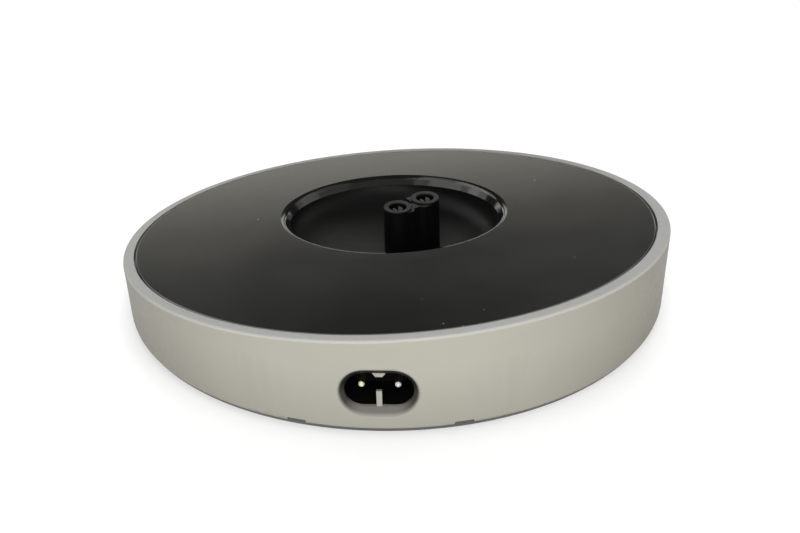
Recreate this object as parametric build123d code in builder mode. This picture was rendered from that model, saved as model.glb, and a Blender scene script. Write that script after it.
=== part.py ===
from build123d import *
import os
from math import cos, hypot, pi, radians, sin, tan

os.makedirs("parts", exist_ok=True)

# Shaver charging stand, in millimetres and degrees.
# The origin is on the axis of the round body, at the table. +Z is up, and the power inlet
# faces +Y, the back. Left and right are as seen from the back, so left is towards +X.
# Azimuths are measured from +X towards +Y.

# Body: a tapered cone on a level base, cut on a slant
foot_stand_off = 0.5
base_radius = 50.85
body_taper = 5.4
base_edge_radius = 2.5
slant_height = 13.78
slant_angle = 7.61
slant_azimuth = 112.2
rim_edge_radius = 0.5

# Outer shell
wall = 2.1
rim_width = 2.2
ledge_thickness = 1.5

# Top plate
plate_gap = 0.3
plate_thickness = 1.6
plate_edge_radius = 0.3

# Well: an oval across the line of the sockets, so its long axis lies across the tower
well_x = 1.0
well_margin = 14.85
well_long_radius = 22.65
well_short_radius = 21.0
lip_run = 1.12
lip_edge_radius = 1.2
cup_step = 0.05
cup_wall = 1.3
cup_floor = 1.1
cup_corner_radius = 3.5
cup_flange_width = 2.4
cup_flange_thickness = 1.2
cup_joint_gap = 0.05

# Charging tower
tower_from_well_x = -3.67
tower_from_well_y = 2.85
tower_azimuth = 39.1
tower_above_slant = 2.3
pin_pitch = 6.5
post_diameter = 5.5
post_edge_radius = 0.25
web_drop = 0.5
collar_height = 1.2
socket_diameter = 3.4
socket_depth = 9.4
socket_edge = 0.2
tower_clearance = 0.12
flange_end_margin = 3.8
flange_side_margin = 1.75
flange_thickness = 1.0
seal_margin = 1.1
seal_thickness = 0.4
stake_diameter = 1.4
stake_head_diameter = 2.4
stake_head_height = 0.5
stake_margin = 1.5

# Key and rib that let the plug in only one way up, in the inlet and as slots in the tower
key_wide = 2.45
key_narrow = 1.25
key_depth = 0.8
rib_width = 1.0
rib_top_drop = 0.3
key_clearance = 0.06

# Socket contacts
leaf_thickness = 0.25
leaf_width = 1.2
leaf_root_inset = 0.65
leaf_root_rise = 0.9
leaf_straight = 1.0
leaf_grip = 0.1
leaf_pinch_drop = 2.35
leaf_lead_in = 0.15
leaf_tip_drop = 0.45
leaf_bend_radius = 0.8
leaf_hinge_gap = 0.05
tail_thickness = 0.3

# Power inlet
inlet_height = 9.25
inlet_width = 12.4
inlet_opening = 6.75
mouth_recess = 1.97
mouth_length = 2.7
mouth_wall = 0.7
nose_wall = 0.8
nose_clearance = 0.1
boss_side_margin = 0.4
boss_floor_gap = 0.6
boss_above = 6.25
flare_side_rate = 0.72
flare_end_rate = 0.85
flare_edge_radius = 0.45
flare_overrun = 1.0
inlet_depth = 6.0
inlet_back = 3.2
inlet_wall = 1.4
ear_thickness = 1.6
ear_height = 6.4
ear_margin = 2.0
inlet_joint_gap = 0.05
pin_diameter = 1.1
pin_nose = 0.3
pin_nose_diameter = 0.55
pin_nose_radius = 0.15
pin_shank_diameter = 1.6
pin_recess = 1.6
pin_shoulder_diameter = 2.2
pin_shoulder_length = 0.8
pin_tail_diameter = 0.7
pin_tail_length = 3.2

# Base plate, its locating tabs and its feet
base_thickness = 1.5
base_inset = 0.15
seam_gap = 0.05
base_rim_gap = 0.2
base_rim_width = 1.0
base_rim_height = 1.1
tab_width = 3.3
tab_height = 0.45
tab_clearance = 0.1
tab_spread = 34.0
tab_pairs = 3
foot_count = 3
foot_margin = 7.85
foot_first_azimuth = 30.0
foot_diameter = 9.0
foot_sink = 0.7
foot_clearance = 0.1
foot_bond_gap = 0.05
foot_edge_radius = 0.2

# Fasteners
thread_allowance = 0.02
base_screw_diameter = 2.2
base_screw_head_diameter = 4.0
base_screw_head_height = 1.1
base_screw_reach = 3.7
base_boss_height = 1.4
post_wall = 1.65
post_joint_gap = 0.05
cup_screw_count = 3
cup_screw_overhang = 2.3
cup_screw_diameter = 1.8
cup_screw_head_diameter = 6.0
cup_screw_head_height = 0.6
cup_screw_reach = 1.1
cup_ear_diameter = 7.4
cup_boss_diameter = 3.8
cup_boss_clearance = 0.1
inlet_screw_diameter = 2.0
inlet_screw_head_diameter = 3.6
inlet_screw_head_height = 1.1
inlet_screw_reach = 2.3
inlet_screw_offset = 2.6
screw_hole_clearance = 0.15
drive_width = 0.6
drive_share = 0.55
drive_depth = 0.5

# Leads
lead_diameter = 1.5
sleeve_wall = 0.26
sleeve_length = 5.0
sleeve_bore_clearance = 0.09
sleeve_end_gap = 0.1
lead_floor_gap = 0.05
guide_diameter = 1.2
guide_height = 2.6
guide_gap = 0.15
lead_first_run = 8.0
lead_turn_inset = 10.85
lead_turn_gap = 0.9
lead_turn_spacing = 5.2
lead_rise_share = 0.6
lead_rise_height = 1.0
lead_last_run = 6.65
bend_share = 0.45

# How close to the cone an edge lies that counts as on it
edge_match = 0.01

# Levels of the body
base_bottom = foot_stand_off
base_top = base_bottom + base_thickness
shell_bottom = base_top + seam_gap
slant_top = base_bottom + slant_height
form_height = 2 * slant_height
taper_rate = tan(radians(body_taper))
plate_radius = base_radius + taper_rate * slant_height - rim_width - plate_gap

# The slanted plane of the top, and planes parallel to it
slope_x = tan(radians(slant_angle)) * cos(radians(slant_azimuth))
slope_y = tan(radians(slant_angle)) * sin(radians(slant_azimuth))
top_plane = Plane(origin=(0, 0, slant_top), x_dir=(1, 0, slope_x), z_dir=(-slope_x, -slope_y, 1))
plate_bottom_plane = top_plane.offset(-plate_thickness)
ledge_bottom_plane = plate_bottom_plane.offset(-ledge_thickness)
cup_top_plane = plate_bottom_plane.offset(-cup_joint_gap)
flange_bottom_plane = cup_top_plane.offset(-cup_flange_thickness)

# Radii that follow from the body
pocket_radius = plate_radius + plate_gap
inner_base_radius = base_radius - wall
base_rim_radius = inner_base_radius - base_rim_gap
foot_ring_radius = base_radius - foot_margin
tab_reach = base_radius - base_inset - base_rim_radius + base_rim_width

# Levels of the tower, from the base plate up
lead_radius = lead_diameter / 2
sleeve_bore = lead_radius + sleeve_bore_clearance
sleeve_radius = sleeve_bore + sleeve_wall
flange_length = pin_pitch + post_diameter + 2 * flange_end_margin
flange_width = post_diameter + 2 * flange_side_margin
stake_spacing = flange_length - 2 * stake_margin
lead_level = base_top + lead_floor_gap + sleeve_radius
tail_top = lead_level + tail_thickness / 2
flange_bottom = tail_top + lead_floor_gap
flange_top = flange_bottom + flange_thickness
tail_reach = flange_width / 2 + sleeve_end_gap + sleeve_length / 2
cup_underside = flange_top + seal_thickness
floor_top = cup_underside + cup_floor
tower_top = slant_top + tower_above_slant
socket_floor = tower_top - socket_depth
web_top = tower_top - web_drop
leaf_root = socket_floor + leaf_thickness + leaf_root_rise
leaf_pinch = tower_top - leaf_pinch_drop
leaf_tip = tower_top - leaf_tip_drop
leaf_root_offset = socket_diameter / 2 - leaf_root_inset
leaf_pinch_offset = pin_diameter / 2 - leaf_grip
leaf_tip_offset = pin_diameter / 2 + leaf_lead_in

# Places of the well and the tower, and the oval radii of the well from the lip inwards
well_y = well_long_radius + well_margin - plate_radius
tower_x = well_x + tower_from_well_x
tower_y = well_y + tower_from_well_y
cup_long_radius = well_long_radius - lip_run - cup_step
cup_short_radius = well_short_radius - lip_run - cup_step
flange_long_radius = cup_long_radius + cup_wall + cup_flange_width
flange_short_radius = cup_short_radius + cup_wall + cup_flange_width
across_azimuth = tower_azimuth + 90

# Directions along and across the line of the sockets
along = Vector(cos(radians(tower_azimuth)), sin(radians(tower_azimuth)), 0)
across = Vector(-sin(radians(tower_azimuth)), cos(radians(tower_azimuth)), 0)

# Places along and across the axis of the inlet
mouth_y = base_radius + taper_rate * (inlet_height - base_bottom) - mouth_recess
boss_face_y = mouth_y - mouth_length
pin_tip_y = mouth_y - pin_recess
inlet_screw_spacing = inlet_width + 2 * inlet_wall + 2 * inlet_screw_offset
ear_reach = inlet_screw_spacing / 2 + ear_margin
boss_half_width = ear_reach + boss_side_margin
boss_below = inlet_height - base_top - base_rim_height - boss_floor_gap
inlet_front = boss_face_y - inlet_joint_gap
nose_front = mouth_y - mouth_wall - inlet_joint_gap
nose_width = inlet_width + 2 * nose_wall
nose_opening = inlet_opening + 2 * nose_wall
inlet_cavity_back = inlet_front - inlet_depth
inlet_body_back = inlet_cavity_back - inlet_back
pin_tail_end = inlet_body_back - pin_shoulder_length - pin_tail_length
ear_back = inlet_front - ear_thickness

# Screw posts under the plate stand on bosses of the base plate
base_boss_top = base_top + base_boss_height
post_bottom = base_boss_top + post_joint_gap
head_recess_bottom = base_bottom + foot_sink
head_recess_top = head_recess_bottom + base_screw_head_height
post_diameter_under_plate = base_screw_diameter + 2 * post_wall


def keep(piece, name):
    """Label a finished piece and write it."""
    piece.part.label = name
    export_step(piece.part, f"parts/{name}.step")


def level(height):
    """Level plane at a height above the table."""
    return Plane.XY.offset(height)


def tower_level(height):
    """Level plane on the axis of the tower, with its x along the line of the sockets."""
    return Plane(origin=(tower_x, tower_y, height), x_dir=along, z_dir=(0, 0, 1))


def across_inlet(y):
    """Upright plane across the axis of the inlet, facing the back."""
    return Plane(origin=(0, y, inlet_height), x_dir=(-1, 0, 0), z_dir=(0, 1, 0))


def slant_point(plane, x, y):
    """Where the upright line at x, y meets a slanted plane, in that plane's own axes."""
    fall = slope_x * (x - plane.origin.X) + slope_y * (y - plane.origin.Y)
    local = plane.to_local_coords(Vector(x, y, plane.origin.Z + fall))
    return (local.X, local.Y)


def body_cone(inset):
    """Upright cone of the body, drawn in by an inset, with its rounded lower corner."""
    with BuildPart() as cone:
        with BuildSketch(Plane.XZ) as profile:
            with BuildLine():
                foot = base_radius - inset
                head = foot + taper_rate * form_height
                Polyline(
                    (0, base_bottom),
                    (foot, base_bottom),
                    (head, base_bottom + form_height),
                    (0, base_bottom + form_height),
                    close=True,
                )
            make_face()
            corner = profile.vertices().sort_by(Axis.X)[-2:].sort_by(Axis.Y)[0]
            fillet(corner, base_edge_radius - inset)
        revolve(axis=Axis.Z)
    return cone.part


def oval_column(long_radius, short_radius, bottom):
    """Upright oval column round the axis of the well, from a level up through the top."""
    with BuildPart() as column:
        with BuildSketch(level(bottom)):
            with Locations((well_x, well_y)):
                Ellipse(long_radius, short_radius, rotation=across_azimuth)
        extrude(amount=form_height)
    return column.part


def stadium(length, width, bottom, top):
    """Upright block with round ends on the axis of the tower."""
    with BuildPart() as block:
        with BuildSketch(tower_level(bottom)):
            SlotOverall(length, width)
        extrude(amount=top - bottom)
    return block.part


def on_cone(edge):
    """Whether an edge lies on the outer face of the body, away from its rounded corner."""
    points = [edge @ share for share in (0, 0.25, 0.5, 0.75, 1)]
    radii = [base_radius + taper_rate * (point.Z - base_bottom) for point in points]
    return all(abs(hypot(p.X, p.Y) - r) < edge_match for p, r in zip(points, radii))


def foot_places(height):
    """Places of the feet, their screws and the posts above them."""
    return [
        Location((
            foot_ring_radius * cos(radians(foot_first_azimuth + 360 * i / foot_count)),
            foot_ring_radius * sin(radians(foot_first_azimuth + 360 * i / foot_count)),
            height,
        ))
        for i in range(foot_count)
    ]


def cup_screw_points(plane):
    """Places of the cup's screws past the edge of its flange, in a slanted plane's own axes."""
    points = []
    for i in range(cup_screw_count):
        angle = 2 * pi * i / cup_screw_count
        from_long_axis = angle - radians(across_azimuth)
        flange_radius = 1 / hypot(
            cos(from_long_axis) / flange_long_radius,
            sin(from_long_axis) / flange_short_radius,
        )
        reach = flange_radius + cup_screw_overhang
        points.append(slant_point(plane, well_x + reach * cos(angle), well_y + reach * sin(angle)))
    return points


# Outer shell: cone wall, slanted rim, ledge for the plate, and the boss and flare of the inlet
body_form = body_cone(0)
inner_form = body_cone(wall)

with BuildPart() as plate_pocket:
    with BuildSketch(level(0)):
        Circle(pocket_radius)
    extrude(amount=form_height + base_bottom)
    split(bisect_by=plate_bottom_plane, keep=Keep.TOP)

with BuildPart() as ledge_opening:
    with BuildSketch(level(0)):
        Circle(inner_base_radius)
    extrude(amount=form_height)
    split(bisect_by=ledge_bottom_plane.offset(-ledge_thickness), keep=Keep.TOP)

with BuildPart() as hollow:
    add(inner_form)
    split(bisect_by=ledge_bottom_plane, keep=Keep.BOTTOM)

with BuildPart() as inlet_boss:
    with BuildSketch(across_inlet(boss_face_y)):
        with Locations((0, (boss_above - boss_below) / 2)):
            Rectangle(2 * boss_half_width, boss_above + boss_below)
    extrude(amount=base_radius)
    add(body_form, mode=Mode.INTERSECT)
    split(bisect_by=ledge_bottom_plane.offset(ledge_thickness / 2), keep=Keep.BOTTOM)

with BuildPart() as inlet_flare:
    flare_run = mouth_recess + flare_overrun
    with BuildSketch(across_inlet(mouth_y)):
        SlotOverall(inlet_width, inlet_opening)
    with BuildSketch(across_inlet(mouth_y + flare_run)):
        SlotOverall(
            inlet_width + 2 * flare_side_rate * flare_run,
            inlet_opening + 2 * flare_end_rate * flare_run,
        )
    loft(ruled=True)

with BuildPart() as outer_shell:
    add(body_form)
    split(bisect_by=top_plane, keep=Keep.BOTTOM)
    rim_edge = outer_shell.edges().sort_by(Axis.Z)[-1]
    fillet(rim_edge, rim_edge_radius)
    split(bisect_by=level(shell_bottom), keep=Keep.TOP)
    add(hollow.part, mode=Mode.SUBTRACT)
    add(ledge_opening.part, mode=Mode.SUBTRACT)
    add(plate_pocket.part, mode=Mode.SUBTRACT)
    add(inlet_boss.part)
    add(inlet_flare.part, mode=Mode.SUBTRACT)
    with BuildSketch(across_inlet(boss_face_y)):
        SlotOverall(nose_width + 2 * nose_clearance, nose_opening + 2 * nose_clearance)
    extrude(amount=mouth_length - mouth_wall, mode=Mode.SUBTRACT)
    # The thin wall behind the flare carries the key at its top and the rib at its foot
    with BuildSketch(across_inlet(mouth_y - mouth_wall)):
        SlotOverall(inlet_width, inlet_opening)
        with BuildLine():
            half = inlet_opening / 2
            Polyline(
                (-key_wide / 2, half),
                (-key_narrow / 2, half - key_depth),
                (key_narrow / 2, half - key_depth),
                (key_wide / 2, half),
                close=True,
            )
        make_face(mode=Mode.SUBTRACT)
        with Locations((0, -half)):
            Rectangle(
                rib_width,
                half - rib_top_drop,
                align=(Align.CENTER, Align.MIN),
                mode=Mode.SUBTRACT,
            )
    extrude(amount=mouth_wall, mode=Mode.SUBTRACT)
    with BuildSketch(across_inlet(boss_face_y)):
        with GridLocations(inlet_screw_spacing, 1, 2, 1):
            Circle(inlet_screw_diameter / 2 + thread_allowance)
    extrude(amount=inlet_screw_reach + thread_allowance, mode=Mode.SUBTRACT)
    with BuildSketch(level(shell_bottom)):
        for side in (-1, 1):
            with PolarLocations(base_radius, tab_pairs, start_angle=90 + side * tab_spread / 2):
                Rectangle(2 * tab_reach, tab_width + 2 * tab_clearance)
    extrude(amount=tab_height + tab_clearance, mode=Mode.SUBTRACT)
    flare_edges = outer_shell.edges().filter_by(
        lambda edge: on_cone(edge) and edge.center().Y > boss_face_y
        and base_top + base_edge_radius / 2 < edge.center().Z
        and abs(edge.center().X) < inlet_width
    )
    fillet(flare_edges, flare_edge_radius)
keep(outer_shell, "outer_shell")

# Top plate: slanted disc with the sloped lip of the well and posts for the base screws
with BuildPart() as well_hole:
    for plane, run in ((top_plane, 0), (plate_bottom_plane, lip_run)):
        with BuildSketch(plane):
            with Locations(slant_point(plane, well_x, well_y)):
                Ellipse(well_long_radius - run, well_short_radius - run, rotation=across_azimuth)
    loft(ruled=True)

with BuildPart() as top_plate:
    with BuildSketch(level(0)):
        Circle(plate_radius)
    extrude(amount=form_height)
    split(bisect_by=top_plane, keep=Keep.BOTTOM)
    split(bisect_by=plate_bottom_plane, keep=Keep.TOP)
    plate_edge = top_plate.edges().sort_by(Axis.Z)[-1]
    fillet(plate_edge, plate_edge_radius)
    add(well_hole.part, mode=Mode.SUBTRACT)
    top_face = top_plate.faces().filter_by(GeomType.PLANE).sort_by(Axis.Z)[-1]
    lip_edge = top_face.inner_wires()[0].edges()
    fillet(lip_edge, lip_edge_radius)
    with Locations(foot_places(post_bottom)):
        Cylinder(
            post_diameter_under_plate / 2,
            form_height,
            align=(Align.CENTER, Align.CENTER, Align.MIN),
        )
    split(bisect_by=top_plane, keep=Keep.BOTTOM)
    with BuildSketch(flange_bottom_plane):
        with Locations(cup_screw_points(flange_bottom_plane)):
            Circle(cup_boss_diameter / 2)
    extrude(amount=cup_joint_gap + cup_flange_thickness)
    with BuildSketch(flange_bottom_plane):
        with Locations(cup_screw_points(flange_bottom_plane)):
            Circle(cup_screw_diameter / 2 + thread_allowance)
    extrude(
        amount=cup_joint_gap + cup_flange_thickness + cup_screw_reach + thread_allowance,
        mode=Mode.SUBTRACT,
    )
    with Locations(foot_places(post_bottom)):
        Cylinder(
            base_screw_diameter / 2 + thread_allowance,
            base_screw_reach,
            align=(Align.CENTER, Align.CENTER, Align.MIN),
            mode=Mode.SUBTRACT,
        )
keep(top_plate, "top_plate")

# Well cup: oval bowl with a slanted flange, screwed up to the plate, and two stakes for the tower
cup_outside = oval_column(cup_long_radius + cup_wall, cup_short_radius + cup_wall, cup_underside)
cup_inside = oval_column(cup_long_radius, cup_short_radius, floor_top)
cup_flange_outline = oval_column(flange_long_radius, flange_short_radius, cup_underside)

with BuildPart() as cup_space:
    add(cup_inside)
    fillet(cup_space.edges().group_by(Axis.Z)[0], cup_corner_radius)

with BuildPart() as cup_flange:
    add(cup_flange_outline)
    with BuildSketch(flange_bottom_plane):
        with Locations(cup_screw_points(flange_bottom_plane)):
            Circle(cup_ear_diameter / 2)
    extrude(amount=cup_flange_thickness)
    split(bisect_by=cup_top_plane, keep=Keep.BOTTOM)
    split(bisect_by=flange_bottom_plane, keep=Keep.TOP)

with BuildPart() as well_cup:
    add(cup_outside)
    fillet(well_cup.edges().group_by(Axis.Z)[0], cup_corner_radius)
    split(bisect_by=cup_top_plane, keep=Keep.BOTTOM)
    add(cup_flange.part)
    add(cup_space.part, mode=Mode.SUBTRACT)
    with BuildSketch(flange_bottom_plane):
        with Locations(cup_screw_points(flange_bottom_plane)):
            Circle(cup_boss_diameter / 2 + cup_boss_clearance)
    extrude(amount=cup_flange_thickness, mode=Mode.SUBTRACT)
    with BuildSketch(tower_level(cup_underside)):
        SlotOverall(
            pin_pitch + post_diameter + 2 * tower_clearance,
            post_diameter + 2 * tower_clearance,
        )
    extrude(amount=cup_floor, mode=Mode.SUBTRACT)
    with BuildSketch(tower_level(cup_underside)):
        with GridLocations(stake_spacing, 1, 2, 1):
            Circle(stake_diameter / 2)
    extrude(amount=flange_bottom - cup_underside)
    with BuildSketch(tower_level(flange_bottom)):
        with GridLocations(stake_spacing, 1, 2, 1):
            Circle(stake_head_diameter / 2)
    extrude(amount=-stake_head_height)
keep(well_cup, "well_cup")

# Tower housing: two round posts, a lower web with the slots for key and rib, and the flange
with BuildPart() as tower_housing:
    add(stadium(flange_length, flange_width, flange_bottom, flange_top))
    add(stadium(pin_pitch + post_diameter, post_diameter, flange_top, floor_top + collar_height))
    with BuildSketch(tower_level(floor_top)):
        Rectangle(pin_pitch, post_diameter)
    extrude(amount=web_top - floor_top)
    with BuildSketch(tower_level(floor_top)):
        with GridLocations(pin_pitch, 1, 2, 1):
            Circle(post_diameter / 2)
    extrude(amount=tower_top - floor_top)
    with BuildSketch(tower_level(floor_top + collar_height)):
        with BuildLine():
            side = post_diameter / 2
            Polyline(
                (-key_wide / 2 - key_clearance, side),
                (-key_narrow / 2 - key_clearance, side - key_depth - key_clearance),
                (key_narrow / 2 + key_clearance, side - key_depth - key_clearance),
                (key_wide / 2 + key_clearance, side),
                close=True,
            )
        make_face()
        with Locations((0, -side)):
            Rectangle(
                rib_width + 2 * key_clearance,
                side - rib_top_drop + key_clearance,
                align=(Align.CENTER, Align.MIN),
            )
    extrude(amount=web_top - floor_top - collar_height, mode=Mode.SUBTRACT)
    rims = tower_housing.edges().group_by(Axis.Z)[-1]
    fillet(rims, post_edge_radius)
    with BuildSketch(tower_level(tower_top)):
        with GridLocations(pin_pitch, 1, 2, 1):
            Circle(socket_diameter / 2)
    extrude(amount=-socket_depth, mode=Mode.SUBTRACT)
    socket_rims = tower_housing.edges().group_by(Axis.Z)[-1].filter_by(
        lambda e: e.radius < socket_diameter / 2 + socket_edge
    )
    chamfer(socket_rims, socket_edge)
    with BuildSketch(tower_level(flange_bottom)):
        with GridLocations(pin_pitch, 1, 2, 1):
            Rectangle(tail_thickness + 2 * key_clearance, leaf_width + 2 * key_clearance)
        with GridLocations(stake_spacing, 1, 2, 1):
            Circle(stake_diameter / 2 + thread_allowance)
    extrude(amount=socket_floor - flange_bottom, mode=Mode.SUBTRACT)
keep(tower_housing, "tower_housing")

# Gasket between the flange of the tower and the floor of the cup
with BuildPart() as tower_seal:
    with BuildSketch(tower_level(flange_top)):
        seal_bore = post_diameter + 2 * tower_clearance
        SlotOverall(pin_pitch + seal_bore + 2 * seal_margin, seal_bore + 2 * seal_margin)
        SlotOverall(pin_pitch + seal_bore, seal_bore, mode=Mode.SUBTRACT)
    extrude(amount=seal_thickness)
keep(tower_seal, "tower_seal")


def contact_plane(side):
    """Upright plane through a socket's axis, with its x along the line of the sockets."""
    middle = Vector(tower_x, tower_y, 0) + along * (side * pin_pitch / 2)
    return Plane(origin=middle, x_dir=along, z_dir=-across)


# Fixed part of each socket contact: seat, two roots, and a tail bent out under the flange
for side, name in ((1, "left"), (-1, "right")):
    with BuildPart() as contact_base:
        with BuildSketch(contact_plane(side)):
            with BuildLine():
                Polyline(
                    (-leaf_root_offset, leaf_root),
                    (-leaf_root_offset, socket_floor + leaf_thickness / 2),
                    (leaf_root_offset, socket_floor + leaf_thickness / 2),
                    (leaf_root_offset, leaf_root),
                )
            trace(line_width=leaf_thickness)
        extrude(amount=leaf_width / 2, both=True)
        with BuildSketch(contact_plane(side)):
            with Locations((0, (socket_floor + lead_level) / 2)):
                Rectangle(tail_thickness, socket_floor - lead_level)
        extrude(amount=leaf_width / 2, both=True)
        with BuildSketch(tower_level(lead_level)):
            with Locations((side * pin_pitch / 2, -leaf_width / 2)):
                Rectangle(
                    leaf_width, leaf_width / 2 + tail_reach, align=(Align.CENTER, Align.MIN)
                )
        extrude(amount=tail_thickness / 2, both=True)
    keep(contact_base, f"contact_base_{name}")

# Spring leaves: each rises from its root, closes in on the pin, and opens out at its tip
for side, name in ((1, "left"), (-1, "right")):
    for way, place in ((side, "outer"), (-side, "inner")):
        with BuildPart() as leaf:
            with BuildSketch(contact_plane(side)):
                with BuildLine():
                    FilletPolyline(
                        (way * leaf_root_offset, leaf_root + leaf_hinge_gap),
                        (way * leaf_root_offset, leaf_root + leaf_straight),
                        (way * leaf_pinch_offset, leaf_pinch),
                        (way * leaf_tip_offset, leaf_tip),
                        radius=leaf_bend_radius,
                    )
                trace(line_width=leaf_thickness)
            extrude(amount=leaf_width / 2, both=True)
        keep(leaf, f"contact_leaf_{name}_{place}")

# Inlet body: block and nose with the cavity for the plug, two ears, and bores for the pins
with BuildPart() as inlet_body:
    with BuildSketch(across_inlet(inlet_body_back)):
        RectangleRounded(
            inlet_width + 2 * inlet_wall,
            inlet_opening + 2 * inlet_wall,
            inlet_wall,
        )
    extrude(amount=inlet_front - inlet_body_back)
    with BuildSketch(across_inlet(ear_back)):
        RectangleRounded(2 * ear_reach, ear_height, inlet_wall)
    extrude(amount=ear_thickness)
    with BuildSketch(across_inlet(inlet_front)):
        SlotOverall(nose_width, nose_opening)
    extrude(amount=nose_front - inlet_front)
    with BuildSketch(across_inlet(inlet_cavity_back)):
        SlotOverall(inlet_width, inlet_opening)
    extrude(amount=nose_front - inlet_cavity_back, mode=Mode.SUBTRACT)
    with BuildSketch(across_inlet(inlet_body_back)):
        with GridLocations(pin_pitch, 1, 2, 1):
            Circle(pin_shank_diameter / 2)
    extrude(amount=inlet_back, mode=Mode.SUBTRACT)
    with BuildSketch(across_inlet(ear_back)):
        with GridLocations(inlet_screw_spacing, 1, 2, 1):
            Circle(inlet_screw_diameter / 2 + screw_hole_clearance)
    extrude(amount=ear_thickness, mode=Mode.SUBTRACT)
keep(inlet_body, "inlet_body")

# Inlet pins: round tip, shoulder against the back of the body, and a thinner solder tail
for side, name in ((1, "left"), (-1, "right")):
    with BuildPart() as pin:
        with BuildSketch(Plane(origin=(side * pin_pitch / 2, 0, inlet_height), z_dir=(0, 0, 1))):
            with BuildLine():
                tip = pin_diameter / 2
                shank = pin_shank_diameter / 2
                shoulder = pin_shoulder_diameter / 2
                tail = pin_tail_diameter / 2
                Polyline(
                    (0, pin_tip_y),
                    (0, pin_tail_end),
                    (tail, pin_tail_end),
                    (tail, inlet_body_back - pin_shoulder_length),
                    (shoulder, inlet_body_back - pin_shoulder_length),
                    (shoulder, inlet_body_back),
                    (shank, inlet_body_back),
                    (shank, inlet_cavity_back),
                    (tip, inlet_cavity_back),
                    (tip, pin_tip_y - pin_nose),
                    (pin_nose_diameter / 2, pin_tip_y),
                    close=True,
                )
            make_face()
        revolve(axis=Axis((side * pin_pitch / 2, 0, inlet_height), (0, 1, 0)))
        tip_edges = pin.edges().group_by(Axis.Y)[-1]
        fillet(tip_edges, pin_nose_radius)
    keep(pin, f"inlet_pin_{name}")

# Base plate: closes the shell, with a locating rim and tabs, screw bosses and lead guides
tower_centre = Vector(tower_x, tower_y, lead_level)


def tail_end(side):
    """Free end of a contact's tail, where a lead is soldered on."""
    return tower_centre + along * (side * pin_pitch / 2) + across * tail_reach


def lead_points(side):
    """Corners of a lead's route, from the contact's tail to the tail of the inlet pin."""
    start = tail_end(side)
    turn = Vector(
        well_x - flange_short_radius + lead_turn_inset + side * lead_turn_spacing / 2,
        well_y + flange_long_radius + lead_turn_gap,
        lead_level,
    )
    finish = Vector(side * pin_pitch / 2, pin_tail_end, inlet_height)
    last_turn = finish - Vector(0, lead_last_run, 0)
    rise = turn + (last_turn - turn) * lead_rise_share
    rise.Z = lead_level + lead_rise_height
    return [start, start + across * lead_first_run, turn, rise, last_turn, finish]


def bend_radii(points):
    """Largest arcs that the runs of a route allow."""
    radii = []
    for before, corner, after in zip(points, points[1:], points[2:]):
        turn = radians((corner - before).get_angle(after - corner))
        shorter = min((corner - before).length, (after - corner).length)
        radii.append(bend_share * shorter / tan(turn / 2))
    return radii


def guide_points():
    """Places of the guide posts, one on each side of each lead, over its second run."""
    places = []
    for side in (1, -1):
        corners = lead_points(side)
        middle = (corners[1] + corners[2]) * 0.5
        run = (corners[2] - corners[1]).normalized()
        sideways = Vector(-run.Y, run.X, 0) * (lead_radius + guide_gap + guide_diameter / 2)
        places += [middle + sideways, middle - sideways]
    return [(place.X, place.Y) for place in places]


base_form = body_cone(base_inset)

with BuildPart() as base_plate:
    add(base_form)
    split(bisect_by=level(base_top), keep=Keep.BOTTOM)
    with BuildSketch(level(base_top)):
        Circle(base_rim_radius)
        Circle(base_rim_radius - base_rim_width, mode=Mode.SUBTRACT)
    extrude(amount=base_rim_height)
    with BuildSketch(level(base_top)):
        tab_middle = base_radius - base_inset - tab_reach / 2
        for side in (-1, 1):
            with PolarLocations(tab_middle, tab_pairs, start_angle=90 + side * tab_spread / 2):
                Rectangle(tab_reach, tab_width)
    extrude(amount=tab_height)
    with Locations(foot_places(base_top)):
        Cylinder(
            post_diameter_under_plate / 2,
            base_boss_height,
            align=(Align.CENTER, Align.CENTER, Align.MIN),
        )
    with BuildSketch(level(base_top)):
        with Locations(guide_points()):
            Circle(guide_diameter / 2)
    extrude(amount=guide_height)
    with Locations(foot_places(base_bottom)):
        Cylinder(
            foot_diameter / 2 + foot_clearance,
            foot_sink,
            align=(Align.CENTER, Align.CENTER, Align.MIN),
            mode=Mode.SUBTRACT,
        )
    with Locations(foot_places(head_recess_bottom)):
        Cylinder(
            base_screw_head_diameter / 2 + screw_hole_clearance,
            base_screw_head_height,
            align=(Align.CENTER, Align.CENTER, Align.MIN),
            mode=Mode.SUBTRACT,
        )
    with Locations(foot_places(head_recess_top)):
        Cylinder(
            base_screw_diameter / 2 + screw_hole_clearance,
            form_height,
            align=(Align.CENTER, Align.CENTER, Align.MIN),
            mode=Mode.SUBTRACT,
        )
keep(base_plate, "base_plate")

# Rubber feet, let into the base plate over the heads of its screws
for number, place in enumerate(foot_places(0), start=1):
    with BuildPart() as foot:
        with Locations(place):
            Cylinder(
                foot_diameter / 2,
                foot_stand_off + foot_sink - foot_bond_gap,
                align=(Align.CENTER, Align.CENTER, Align.MIN),
            )
        fillet(foot.edges().group_by(Axis.Z)[0], foot_edge_radius)
    keep(foot, f"rubber_foot_{number}")


def screw(plane, shank, reach, head, head_height):
    """Slotted screw that enters along a plane's normal, with its head behind the plane."""
    with BuildPart() as fastener:
        with BuildSketch(plane):
            Circle(shank / 2)
        extrude(amount=reach)
        with BuildSketch(plane):
            Circle(head / 2)
        extrude(amount=-head_height)
        with BuildSketch(plane.offset(-head_height)):
            Rectangle(drive_share * head, drive_width)
        extrude(amount=drive_depth, mode=Mode.SUBTRACT)
    return fastener.part


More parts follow.
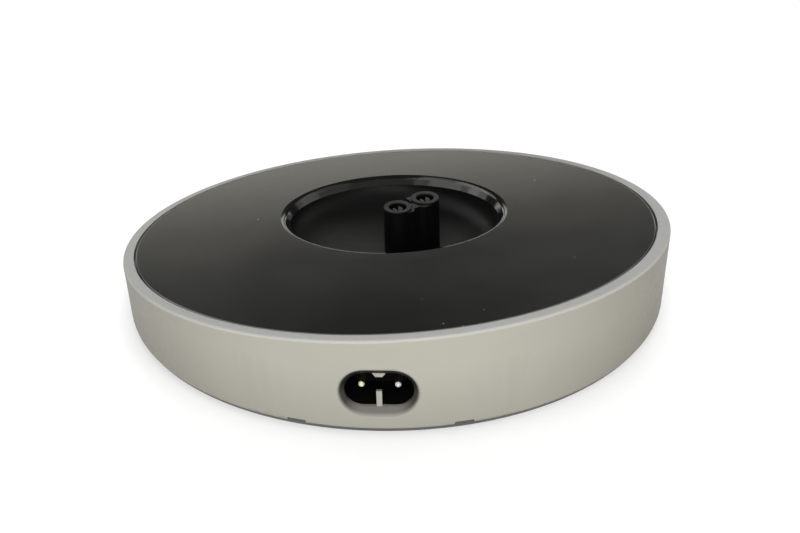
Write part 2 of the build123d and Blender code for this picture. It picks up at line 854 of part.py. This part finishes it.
# Base screws: up through the base plate into the posts of the top plate
base_screw_solids = [
    screw(
        Plane(origin=place.position, z_dir=(0, 0, 1)),
        base_screw_diameter,
        post_bottom + base_screw_reach - head_recess_top - 2 * thread_allowance,
        base_screw_head_diameter,
        base_screw_head_height - thread_allowance,
    )
    for place in foot_places(head_recess_top)
]
with BuildPart() as base_screws:
    add(base_screw_solids)
keep(base_screws, "base_screws")

# Cup screws: washer heads clamp the flange of the cup round the bosses of the plate
cup_screw_solids = [
    screw(
        Plane(
            origin=flange_bottom_plane.from_local_coords(Vector(*point, 0)),
            x_dir=flange_bottom_plane.x_dir,
            z_dir=flange_bottom_plane.z_dir,
        ),
        cup_screw_diameter,
        cup_joint_gap + cup_flange_thickness + cup_screw_reach,
        cup_screw_head_diameter,
        cup_screw_head_height,
    )
    for point in cup_screw_points(flange_bottom_plane)
]
with BuildPart() as cup_screws:
    add(cup_screw_solids)
keep(cup_screws, "cup_screws")

# Inlet screws: forward through the ears of the inlet body into the boss of the shell
inlet_screw_solids = [
    screw(
        Plane(origin=(side * inlet_screw_spacing / 2, ear_back, inlet_height), z_dir=(0, 1, 0)),
        inlet_screw_diameter,
        boss_face_y + inlet_screw_reach - ear_back,
        inlet_screw_head_diameter,
        inlet_screw_head_height,
    )
    for side in (1, -1)
]
with BuildPart() as inlet_screws:
    add(inlet_screw_solids)
keep(inlet_screws, "inlet_screws")

# Leads from the contacts to the inlet pins, and the sleeves over their soldered ends
for side, name in ((1, "left"), (-1, "right")):
    route = lead_points(side)
    with BuildPart() as lead:
        with BuildLine() as path:
            FilletPolyline(*route, radius=bend_radii(route))
        with BuildSketch(Plane(origin=route[0], z_dir=route[1] - route[0])):
            Circle(lead_radius)
        sweep(path=path.wires()[0])
    keep(lead, f"lead_{name}")
    print(name, "lead, length", round(path.wires()[0].length, 1), "radii",
          [round(radius, 1) for radius in bend_radii(route)])

    for joint, end, way in (
        ("socket", route[0], route[1] - route[0]),
        ("inlet", route[-1], route[-2] - route[-1]),
    ):
        with BuildPart() as sleeve:
            start = end - way.normalized() * (sleeve_length / 2)
            with BuildSketch(Plane(origin=start, z_dir=way)):
                Circle(sleeve_radius)
                Circle(sleeve_bore, mode=Mode.SUBTRACT)
            extrude(amount=sleeve_length)
        keep(sleeve, f"sleeve_{joint}_{name}")
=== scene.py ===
import math

import bpy
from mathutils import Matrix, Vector

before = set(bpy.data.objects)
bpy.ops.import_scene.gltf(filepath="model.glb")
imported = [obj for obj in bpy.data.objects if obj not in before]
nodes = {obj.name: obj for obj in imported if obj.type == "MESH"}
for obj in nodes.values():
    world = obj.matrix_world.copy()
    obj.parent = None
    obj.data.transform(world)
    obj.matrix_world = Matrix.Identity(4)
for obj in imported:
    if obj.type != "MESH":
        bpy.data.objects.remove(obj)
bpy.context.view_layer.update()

# The camera of the photograph: its place in metres, its turn in degrees, its sensor's width and its
# lens in millimetres, and the nearest and farthest distance that it sees, in metres
CAMERA_PLACE = (-0.0310, 0.4432, 0.2436)
CAMERA_TURN = (61.981, 1.194, -176.737)
SENSOR_WIDTH = 36.0
LENS = 117.71
CAMERA_REACH = (0.01, 50.0)

# Softboxes, all at one distance from the part in metres: name, azimuth from +Y toward +X and
# elevation in degrees, width, height, power in watts, colour, whether they light surfaces, and
# whether they show in reflections
SOFTBOX_DISTANCE = 1.3
PALE = (1.0, 1.0, 0.98)
SOFTBOXES = (
    ("overhead", 0.0, 88.0, 0.8, 0.8, 4.4, (1.0, 1.0, 1.0), True, False),
    ("low_front", 0.0, 20.0, 0.8, 0.8, 13.5, (0.98, 1.0, 1.0), True, True),
    ("key_right", -16.0, 45.0, 0.8, 0.8, 8.0, (1.0, 0.97, 0.92), True, False),
    ("side_left", 80.0, 36.0, 0.5, 0.5, 0.4, (0.97, 1.0, 1.0), True, False),
    ("back_high", 180.0, 55.0, 0.8, 0.8, 9.0, (0.97, 1.0, 1.03), True, False),
    ("wide_left", 100.0, 42.0, 1.6, 1.2, 6.0, PALE, False, True),
    ("low_left", 122.0, 28.0, 0.9, 0.8, 2.4, PALE, False, True),
    ("wide_right", -100.0, 42.0, 1.6, 1.2, 3.0, PALE, False, True),
    ("low_right", -122.0, 28.0, 0.9, 0.8, 1.2, PALE, False, True),
    ("mid_left", 70.0, 48.0, 1.0, 1.0, 2.4, PALE, False, True),
    ("soft_front", 0.0, 56.0, 1.8, 0.9, 1.4, PALE, False, True),
)

# The bright sweep low behind the part: strength, colour, the level direction of its middle, the
# elevations in degrees at which it starts, is full, starts to fade and has gone, and the cosines of
# the angle from its middle at which it has gone and is full. Beyond it the room is a dim grey.
SWEEP_STRENGTH = 1.45
SWEEP_COLOUR = (1.0, 0.985, 0.885)
SWEEP_MIDDLE = (0.07, -0.9975, 0.0)
SWEEP_RISE = (3.0, 6.5)
SWEEP_FADE = (10.3, 12.6)
SWEEP_SPREAD = (0.91, 0.97)
ROOM_COLOUR = (0.02, 0.02, 0.02)

# The floor: half of its width in metres, its grey, and the strength of its own glow
FLOOR_HALF = 8.0
FLOOR_GREY = (0.5, 0.5, 0.5)
FLOOR_GLOW = 0.52

# Cone of the shell's side: radius and height of its lower edge in metres, and its taper
BODY_RADIUS = 0.05085
BODY_FOOT = 0.0005
BODY_TAPER = math.tan(math.radians(5.4))

# The inlet's zone of the shell is beyond a y and below a z, and its flare gets painted shade over a
# depth below the cone. The shell's side gets painted shade toward its foot, fading out over a range
# of z, and its rim painted shade on its far side, fading out over a range of y. All in metres.
INLET_FROM_Y = 0.045
INLET_TO_Z = 0.0145
FLARE_DEPTH = 0.0007
SIDE_SHADE_Z = (0.001, 0.014)
RIM_SHADE_Y = (-0.045, -0.02)

# The plate: distance from the body's axis beyond which its edge is rounded and gets a painted
# highlight, and the ranges of x, to either side, and of y over which it gets a painted reflection,
# in metres
PLATE_EDGE = 0.0491
REFLECTION_X = (0.006, 0.032)
REFLECTION_Y = (-0.012, 0.018)

# The well: its axis, the distances from it over which the floor's painted light fades into painted
# shade, and the range of y over which that painted light grows toward +y, in metres
WELL_CENTRE = (0.001, -0.01215)
FLOOR_INTO_SHADE = (0.013, 0.0205)
FLOOR_LIGHT_Y = (-0.025, -0.012)

# The tower: axes of its posts, the height above which its upward-facing tops are paler, and the
# pitch of the turning marks on its tops, in metres
POST_CENTRES = ((-0.00015, -0.00725), (-0.00519, -0.01135))
PALE_TOPS_FROM_Z = 0.0155
TURNING_PITCH = 0.00042

# Values of a noise between which a tone goes from one end to the other, and the noises' roughness
NOISE_LOW = 0.35
NOISE_HIGH = 0.65
NOISE_ROUGHNESS = 0.55


def place_camera():
    """Camera at the photograph's viewpoint."""
    data = bpy.data.cameras.new("photo_camera")
    data.sensor_width = SENSOR_WIDTH
    data.lens = LENS
    data.clip_start, data.clip_end = CAMERA_REACH
    camera = bpy.data.objects.new("photo_camera", data)
    camera.location = CAMERA_PLACE
    camera.rotation_euler = [math.radians(angle) for angle in CAMERA_TURN]
    bpy.context.scene.collection.objects.link(camera)
    bpy.context.scene.camera = camera


class Shader:
    """A material's node tree, with short calls for the nodes that it uses."""

    def __init__(self, name):
        self.material = bpy.data.materials.new(name)
        self.material.use_nodes = True
        self.tree = self.material.node_tree
        self.surface = self.tree.nodes["Principled BSDF"]
        self.texture = self.node("ShaderNodeTexCoord")

    def node(self, kind, **settings):
        made = self.tree.nodes.new(kind)
        for key, value in settings.items():
            setattr(made, key, value)
        return made

    def link(self, source, target):
        self.tree.links.new(source, target)

    def set(self, **values):
        """Set plain values on the shader's own sockets."""
        for key, value in values.items():
            self.surface.inputs[key.replace("_", " ")].default_value = value

    def noise(self, scale, detail):
        """Cloudy noise over the object's own place."""
        made = self.node("ShaderNodeTexNoise")
        made.inputs["Scale"].default_value = scale
        made.inputs["Detail"].default_value = detail
        made.inputs["Roughness"].default_value = NOISE_ROUGHNESS
        self.link(self.texture.outputs["Object"], made.inputs["Vector"])
        return made.outputs["Fac"]

    def remap(self, value, low, high, from_low=NOISE_LOW, from_high=NOISE_HIGH):
        """low where the value is from_low or less, high where it is from_high or more."""
        made = self.node("ShaderNodeMapRange")
        made.inputs["From Min"].default_value = from_low
        made.inputs["From Max"].default_value = from_high
        made.inputs["To Min"].default_value = low
        made.inputs["To Max"].default_value = high
        self.link(value, made.inputs["Value"])
        return made.outputs["Result"]

    def math(self, operation, first, second=0.0):
        made = self.node("ShaderNodeMath", operation=operation)
        for socket, value in zip(made.inputs, (first, second)):
            if isinstance(value, (int, float)):
                socket.default_value = value
            else:
                self.link(value, socket)
        return made.outputs["Value"]

    def product(self, result, *others):
        """Product of all the values."""
        for value in others:
            result = self.math("MULTIPLY", result, value)
        return result

    def blend(self, share, first, second):
        """Colour between two colours or colour sockets."""
        made = self.node("ShaderNodeMix", data_type="RGBA")
        self.link(share, made.inputs["Factor"])
        for socket, value in ((made.inputs[6], first), (made.inputs[7], second)):
            if isinstance(value, tuple):
                socket.default_value = (*value, 1.0)
            else:
                self.link(value, socket)
        return made.outputs[2]

    def cloudy(self, scale, detail, first, second):
        """Colour that drifts between two colours."""
        return self.blend(self.remap(self.noise(scale, detail), 0, 1), first, second)

    def specks(self, scale, size, share):
        """1 inside small scattered dots, 0 elsewhere."""
        cells = self.node("ShaderNodeTexVoronoi")
        cells.inputs["Scale"].default_value = scale
        self.link(self.texture.outputs["Object"], cells.inputs["Vector"])
        inside = self.math("LESS_THAN", cells.outputs["Distance"], size)
        pick = self.node("ShaderNodeSeparateColor")
        self.link(cells.outputs["Color"], pick.inputs["Color"])
        chosen = self.math("LESS_THAN", pick.outputs["Red"], share)
        return self.product(inside, chosen)

    def part_of(self, output, axis):
        """One axis of the object's own place or normal."""
        split = self.node("ShaderNodeSeparateXYZ")
        self.link(self.texture.outputs[output], split.inputs["Vector"])
        return split.outputs[axis]

    def distance_from(self, centre):
        """Level distance of the object's own place from an upright line, in metres."""
        squares = []
        for axis, middle in zip("XY", centre):
            away = self.math("SUBTRACT", self.part_of("Object", axis), middle)
            squares.append(self.product(away, away))
        return self.math("SQRT", self.math("ADD", *squares))

    def along(self, axis, start, stop):
        """0 below a place on an axis in metres, 1 above another."""
        return self.remap(self.part_of("Object", axis), 0, 1, start, stop)

    def facing_up(self, start, stop):
        """0 where the upward share of the normal is start, 1 where it is stop."""
        return self.remap(self.part_of("Normal", "Z"), 0, 1, start, stop)

    def bump(self, height, strength, distance):
        made = self.node("ShaderNodeBump")
        made.inputs["Strength"].default_value = strength
        made.inputs["Distance"].default_value = distance
        self.link(height, made.inputs["Height"])
        self.link(made.outputs["Normal"], self.surface.inputs["Normal"])

    def colour(self, socket):
        self.link(socket, self.surface.inputs["Base Color"])

    def rough(self, socket):
        self.link(socket, self.surface.inputs["Roughness"])


def inlet_zone(shader):
    """1 round the inlet, below the rim, and 0 elsewhere."""
    return shader.product(
        shader.math("GREATER_THAN", shader.part_of("Object", "Y"), INLET_FROM_Y),
        shader.math("LESS_THAN", shader.part_of("Object", "Z"), INLET_TO_Z),
    )


def inlet_shade(shader):
    """Share of painted shade in the inlet's flare: 1 on its roof, less on its sides and its lower
    face, 0 elsewhere.
    """
    height = shader.math("SUBTRACT", shader.part_of("Object", "Z"), BODY_FOOT)
    cone = shader.math("ADD", shader.product(height, BODY_TAPER), BODY_RADIUS)
    depth = shader.math("SUBTRACT", cone, shader.distance_from((0.0, 0.0)))
    inside = shader.remap(depth, 0, 1, 0.0, FLARE_DEPTH)
    sides = shader.remap(shader.part_of("Normal", "Z"), 1, 0.87, -0.4, 0.1)
    lower = shader.remap(shader.part_of("Normal", "Z"), 1, 0.4, 0.45, 0.97)
    front = shader.remap(shader.part_of("Normal", "Y"), 1, 0, 0.9, 0.97)
    return shader.product(inside, inlet_zone(shader), sides, lower, front)


def moulded_grey():
    """Warm light grey satin plastic of the outer shell, grainy on its slanted rim, with painted
    light
    and shade: a cooler, paler rim lit from above, a painted highlight on the rim's rounded edge,
    and painted shade toward the foot, on the flanks and back, on the far rim and in the inlet's
    flare.
    """
    shader = Shader("moulded_grey")
    shader.set(IOR=1.2)
    cloud = shader.remap(shader.noise(45, 3), 0, 1)
    low = shader.blend(cloud, (0.258, 0.248, 0.214), (0.27, 0.26, 0.225))
    high = shader.blend(cloud, (0.31, 0.3, 0.26), (0.324, 0.314, 0.272))
    # Painted shade: the side is darker toward its foot.
    side = shader.blend(shader.along("Z", *SIDE_SHADE_Z), low, high)
    # Painted shade on the flanks and back: the side goes a little toward dark there.
    flank_shade = shader.remap(shader.part_of("Normal", "Y"), 0.2, 0, 0.3, 0.85)
    side = shader.blend(flank_shade, side, (0.06, 0.055, 0.0))
    # The rim is the same plastic, given a cooler, paler tone where it faces up: painted light from
    # above.
    rim = shader.blend(cloud, (0.345, 0.343, 0.33), (0.36, 0.357, 0.344))
    # Painted shade on the far side of the rim; the fine noise added to it is grain.
    far_rim_shade = shader.remap(shader.part_of("Object", "Y"), 0.22, 0, *RIM_SHADE_Y)
    grain = shader.remap(shader.noise(1600, 2), 0, 0.05)
    rim = shader.blend(shader.math("ADD", far_rim_shade, grain), rim, (0.0, 0.0, 0.0))
    lit = shader.blend(shader.facing_up(0.6, 0.95), side, rim)
    elsewhere = shader.math("SUBTRACT", 1.0, inlet_zone(shader))
    # Painted highlight on the rim's rounded outer edge, between rim and side.
    edge_highlight = shader.product(shader.facing_up(0.1, 0.35), shader.facing_up(0.97, 0.8), elsewhere)
    lit = shader.blend(edge_highlight, lit, (0.385, 0.38, 0.355))
    # Painted shade in the inlet's flare: the colour goes toward near-black there.
    shader.colour(shader.blend(inlet_shade(shader), lit, (0.012, 0.012, 0.01)))
    shader.rough(shader.remap(shader.noise(900, 2), 0.42, 0.52))
    shader.bump(shader.noise(3800, 3), 0.1, 0.00003)
    return shader.material


def gloss_black():
    """Black satin-gloss plastic of the top plate, with a painted reflection toward the sides of its
    +y half, a painted highlight on its rounded edge, and a little dust.
    """
    shader = Shader("gloss_black")
    shader.set(IOR=1.5)
    base = shader.cloudy(30, 4, (0.006, 0.006, 0.0057), (0.0075, 0.0075, 0.007))
    # Painted reflection: paler toward the sides of the plate's +y half.
    across = shader.math("ABSOLUTE", shader.part_of("Object", "X"))
    painted_reflection = shader.product(shader.remap(across, 0, 1, *REFLECTION_X), shader.along("Y", *REFLECTION_Y))
    base = shader.blend(painted_reflection, base, (0.019, 0.019, 0.018))
    # Painted highlight on the plate's rounded edge.
    outer = shader.math("GREATER_THAN", shader.distance_from((0.0, 0.0)), PLATE_EDGE)
    edge_highlight = shader.product(outer, shader.facing_up(0.3, 0.6), shader.facing_up(0.985, 0.93))
    base = shader.blend(edge_highlight, base, (0.085, 0.083, 0.078))
    dust = shader.specks(260, 0.032, 0.28)
    shader.colour(shader.blend(dust, base, (0.3, 0.3, 0.28)))
    sheen = shader.remap(shader.noise(60, 5), 0.1, 0.115)
    shader.rough(shader.math("ADD", sheen, shader.product(dust, 0.5)))
    shader.bump(shader.noise(2500, 3), 0.1, 0.00001)
    return shader.material


def satin_black(name, colour, low, high, grain=2800, depth=0.00002, ior=1.5):
    """Black plastic or rubber, with a paler drift of its colour."""
    shader = Shader(name)
    shader.set(IOR=ior)
    shader.colour(shader.cloudy(70, 4, colour, tuple(channel * 1.35 for channel in colour)))
    shader.rough(shader.remap(shader.noise(500, 3), low, high))
    shader.bump(shader.noise(grain, 3), 0.25, depth)
    return shader.material


def cup_black():
    """Smooth black plastic of the well, with painted light on its open floor, strongest near the
    middle and toward +y, and painted shade on its walls and toward them.
    """
    shader = Shader("cup_black")
    shader.set(IOR=1.22)
    cloud = shader.remap(shader.noise(70, 4), 0, 1)
    side = shader.blend(cloud, (0.003, 0.003, 0.003), (0.004, 0.004, 0.0038))
    floor = shader.blend(cloud, (0.0185, 0.0185, 0.0178), (0.0225, 0.0225, 0.0216))
    # Painted light on the open floor, fading into painted shade toward the walls and toward -y.
    floor_light = shader.remap(shader.distance_from(WELL_CENTRE), 1, 0, *FLOOR_INTO_SHADE)
    share = shader.product(
        floor_light, shader.along("Y", *FLOOR_LIGHT_Y), shader.facing_up(0.35, 0.98)
    )
    shader.colour(shader.blend(share, side, floor))
    shader.rough(shader.remap(shader.noise(500, 3), 0.44, 0.5))
    shader.bump(shader.noise(2600, 3), 0.25, 0.000004)
    return shader.material


def tower_black():
    """Matt black of the tower, paler on its upward-facing tops, which show turning marks."""
    shader = Shader("tower_black")
    shader.set(IOR=1.18)
    cloud = shader.remap(shader.noise(300, 4), 0, 1)
    side = shader.blend(cloud, (0.0012, 0.0013, 0.0013), (0.0018, 0.0019, 0.0019))
    top = shader.blend(cloud, (0.036, 0.0365, 0.0355), (0.05, 0.0505, 0.049))
    # Upward-facing tops above that height are paler.
    above = shader.math("GREATER_THAN", shader.part_of("Object", "Z"), PALE_TOPS_FROM_Z)
    worn = shader.product(shader.facing_up(0.3, 0.8), above)
    nearer = shader.math("MINIMUM", *(shader.distance_from(centre) for centre in POST_CENTRES))
    ripple = shader.math("SINE", shader.product(nearer, 2 * math.pi / TURNING_PITCH))
    turned = shader.blend(shader.remap(ripple, 0, 0.6, 0.1, 0.8), top, side)
    shader.colour(shader.blend(worn, side, turned))
    shader.rough(shader.remap(shader.noise(900, 3), 0.5, 0.6))
    shader.bump(shader.noise(2600, 3), 0.2, 0.00001)
    return shader.material


def metal(name, colour, worn, low, high):
    """Plated metal with fine wear."""
    shader = Shader(name)
    shader.set(Metallic=1.0)
    shader.colour(shader.cloudy(700, 5, colour, worn))
    shader.rough(shader.remap(shader.noise(1800, 4), low, high))
    shader.bump(shader.noise(6000, 2), 0.15, 0.00001)
    return shader.material


def pin_metal(name, bright, dull):
    """Plated pin, bright on its rounded end and dull along its shaft."""
    shader = Shader(name)
    shader.set(Metallic=0.3)
    end = shader.remap(shader.part_of("Normal", "Y"), 0, 1, 0.1, 0.4)
    tip = shader.cloudy(2400, 4, bright, tuple(0.85 * channel for channel in bright))
    shader.colour(shader.blend(end, dull, tip))
    shader.rough(shader.remap(shader.noise(1800, 4), 0.38, 0.5))
    shader.bump(shader.noise(6000, 2), 0.15, 0.00001)
    return shader.material


def dress(names, material):
    """Give CAD nodes a material."""
    for name in names:
        mesh = nodes[name].data
        mesh.materials.clear()
        mesh.materials.append(material)


def dress_all():
    """Materials of every node."""
    dress(["outer_shell"], moulded_grey())
    dress(["top_plate"], gloss_black())
    dress(["well_cup"], cup_black())
    dress(["tower_housing"], tower_black())
    dress(
        ["inlet_body"],
        satin_black("inlet_black", (0.0025, 0.0025, 0.0024), 0.5, 0.65, 2800, 0.00001, 1.15),
    )
    dress(["base_plate"], satin_black("base_black", (0.05, 0.05, 0.046), 0.55, 0.7, 1500, 0.00005))
    dress(["tower_seal"], satin_black("seal_rubber", (0.02, 0.02, 0.02), 0.7, 0.85))
    dress(
        ["rubber_foot_1", "rubber_foot_2", "rubber_foot_3"],
        satin_black("foot_rubber", (0.022, 0.022, 0.022), 0.75, 0.9, 1200, 0.00006),
    )
    dress(["lead_left", "lead_right"], satin_black("lead_black", (0.015, 0.015, 0.015), 0.4, 0.5))
    dress(
        [f"sleeve_{end}_{side}" for end in ("inlet", "socket") for side in ("left", "right")],
        satin_black("sleeve_black", (0.02, 0.02, 0.02), 0.5, 0.6),
    )
    spring = metal("nickel_spring", (0.38, 0.38, 0.365), (0.3, 0.3, 0.29), 0.5, 0.6)
    dress([name for name in nodes if name.startswith("contact_")], spring)
    dress(["inlet_pin_left"], pin_metal("gold_pin", (0.8, 0.78, 0.5), (0.03, 0.026, 0.014)))
    dress(["inlet_pin_right"], pin_metal("silver_pin", (0.76, 0.7, 0.64), (0.026, 0.024, 0.022)))
    steel = metal("zinc_steel", (0.6, 0.6, 0.61), (0.48, 0.48, 0.49), 0.3, 0.45)
    dress(["base_screws", "cup_screws", "inlet_screws"], steel)


def build_floor():
    """Plain pale floor."""
    corners = [
        (side * FLOOR_HALF, end * FLOOR_HALF, 0)
        for side, end in ((-1, -1), (1, -1), (1, 1), (-1, 1))
    ]
    mesh = bpy.data.meshes.new("floor")
    mesh.from_pydata(corners, [], [(0, 1, 2, 3)])
    floor = bpy.data.objects.new("floor", mesh)
    bpy.context.scene.collection.objects.link(floor)
    shader = Shader("pale_floor")
    shader.set(Base_Color=(*FLOOR_GREY, 1.0), Roughness=0.8)
    shader.set(Emission_Color=(1.0, 1.0, 1.0, 1.0), Emission_Strength=FLOOR_GLOW)
    mesh.materials.append(shader.material)


def build_room():
    """Room light: a bright sweep low behind the part, dim elsewhere."""
    world = bpy.data.worlds.new("studio")
    world.use_nodes = True
    tree = world.node_tree

    def fade(value, start, stop):
        made = tree.nodes.new("ShaderNodeMapRange")
        made.interpolation_type = "SMOOTHSTEP"
        made.inputs["From Min"].default_value = start
        made.inputs["From Max"].default_value = stop
        tree.links.new(value, made.inputs["Value"])
        return made.outputs["Result"]

    def both(first, second):
        made = tree.nodes.new("ShaderNodeMath")
        made.operation = "MULTIPLY"
        tree.links.new(first, made.inputs[0])
        tree.links.new(second, made.inputs[1])
        return made.outputs["Value"]

    def heights(angles):
        return [math.sin(math.radians(angle)) for angle in angles]

    place = tree.nodes.new("ShaderNodeTexCoord")
    split = tree.nodes.new("ShaderNodeSeparateXYZ")
    tree.links.new(place.outputs["Generated"], split.inputs["Vector"])
    rise = fade(split.outputs["Z"], *heights(SWEEP_RISE))
    drop = fade(split.outputs["Z"], *heights(reversed(SWEEP_FADE)))
    ahead = tree.nodes.new("ShaderNodeVectorMath")
    ahead.operation = "DOT_PRODUCT"
    ahead.inputs[1].default_value = SWEEP_MIDDLE
    tree.links.new(place.outputs["Generated"], ahead.inputs[0])
    share = both(both(rise, drop), fade(ahead.outputs["Value"], *SWEEP_SPREAD))
    colour = tree.nodes.new("ShaderNodeMix")
    colour.data_type = "RGBA"
    tree.links.new(share, colour.inputs["Factor"])
    colour.inputs[6].default_value = (*ROOM_COLOUR, 1.0)
    colour.inputs[7].default_value = (*(SWEEP_STRENGTH * part for part in SWEEP_COLOUR), 1.0)
    tree.links.new(colour.outputs[2], tree.nodes["Background"].inputs["Color"])
    bpy.context.scene.world = world


def build_softboxes():
    """Softboxes, all facing the part."""
    for name, azimuth, elevation, width, height, power, colour, lights, shows in SOFTBOXES:
        data = bpy.data.lights.new(name, "AREA")
        data.shape = "RECTANGLE"
        data.size = width
        data.size_y = height
        data.energy = power
        data.color = colour
        lamp = bpy.data.objects.new(name, data)
        side, rise = math.radians(azimuth), math.radians(elevation)
        lamp.location = SOFTBOX_DISTANCE * Vector((
            math.sin(side) * math.cos(rise),
            math.cos(side) * math.cos(rise),
            math.sin(rise),
        ))
        lamp.rotation_mode = "QUATERNION"
        lamp.rotation_quaternion = (-lamp.location).to_track_quat("-Z", "Y")
        lamp.visible_diffuse = lights
        lamp.visible_glossy = shows
        bpy.context.scene.collection.objects.link(lamp)


place_camera()
dress_all()
build_floor()
build_room()
build_softboxes()
bpy.context.scene.view_settings.view_transform = "Standard"
